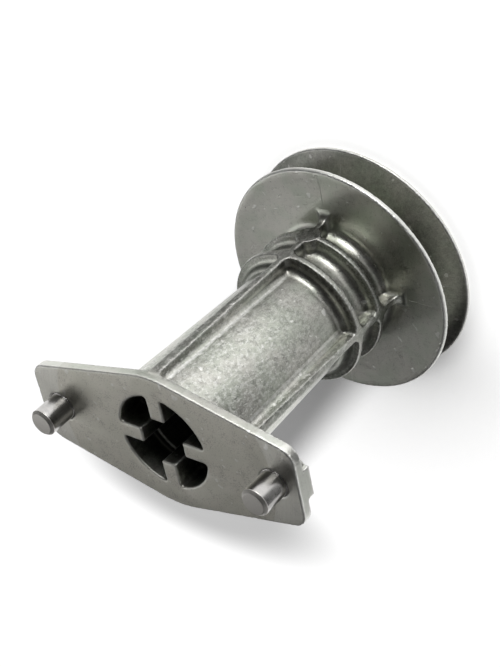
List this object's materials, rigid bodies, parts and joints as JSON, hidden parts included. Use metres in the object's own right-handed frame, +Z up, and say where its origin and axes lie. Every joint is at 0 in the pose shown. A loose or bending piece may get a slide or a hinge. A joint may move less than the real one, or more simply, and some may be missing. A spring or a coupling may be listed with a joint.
{
  "type": "mower blade holder",
  "caption": "Die-cast blade holder of a rotary mower: blade flange with steel drive pins, hollow ribbed shaft with collars and keyed crankshaft bore, and a V-belt pulley.",
  "frame": {"origin": "on the crankshaft axis, in the rear face of the pulley, on which the part stands", "axes": "+Z up the crankshaft axis to the blade face, X through the two drive pins, +Y through the rib with the round pad"},
  "size_m": [0.0792, 0.066, 0.0909],
  "materials": {
    "cast_aluminium": "as cast, fine grained, burnished on its edges",
    "pin_steel": "ground and polished"
  },
  "bodies": {
    "root": {"holder_casting": "cast_aluminium", "drive_pin_left": "pin_steel", "drive_pin_right": "pin_steel"}
  },
  "joints": []
}
